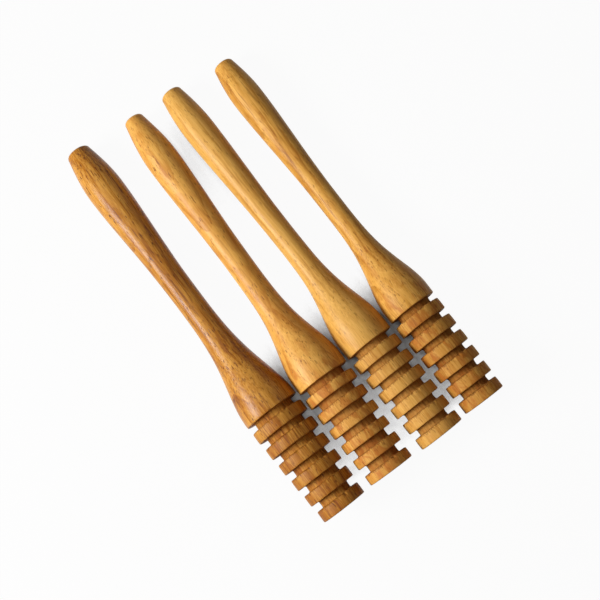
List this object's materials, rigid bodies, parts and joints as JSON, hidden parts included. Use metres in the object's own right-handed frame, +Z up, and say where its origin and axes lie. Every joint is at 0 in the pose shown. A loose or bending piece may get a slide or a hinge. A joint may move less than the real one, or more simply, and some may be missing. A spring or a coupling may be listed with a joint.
{
  "type": "honey dipper set",
  "caption": "Turned wooden honey dippers laid side by side, heads level: swelling grip, slim neck, flared shoulder and a head of grooved discs.",
  "frame": {"origin": "on the table, at the middle of the set's outline seen from above", "axes": "+Y along the dippers from their heads to their grips, +X across the set from dipper 1 to dipper 4, +Z up"},
  "size_m": [0.0798, 0.1592, 0.021],
  "materials": {
    "wood_red_brown": "satin varnish",
    "wood_orange": "satin varnish",
    "wood_pale": "satin varnish",
    "wood_golden": "satin varnish"
  },
  "bodies": {
    "dipper_1": {"dipper_1": "wood_red_brown"},
    "dipper_2": {"dipper_2": "wood_orange"},
    "dipper_3": {"dipper_3": "wood_pale"},
    "dipper_4": {"dipper_4": "wood_golden"}
  },
  "joints": [
    {"name": "lift_1", "type": "slide", "parent": "dipper_2", "child": "dipper_1", "axis": [0, 0, 1], "range_m": [0, 0.06]},
    {"name": "lift_3", "type": "slide", "parent": "dipper_2", "child": "dipper_3", "axis": [0, 0, 1], "range_m": [0, 0.06]},
    {"name": "lift_4", "type": "slide", "parent": "dipper_2", "child": "dipper_4", "axis": [0, 0, 1], "range_m": [0, 0.06]}
  ]
}
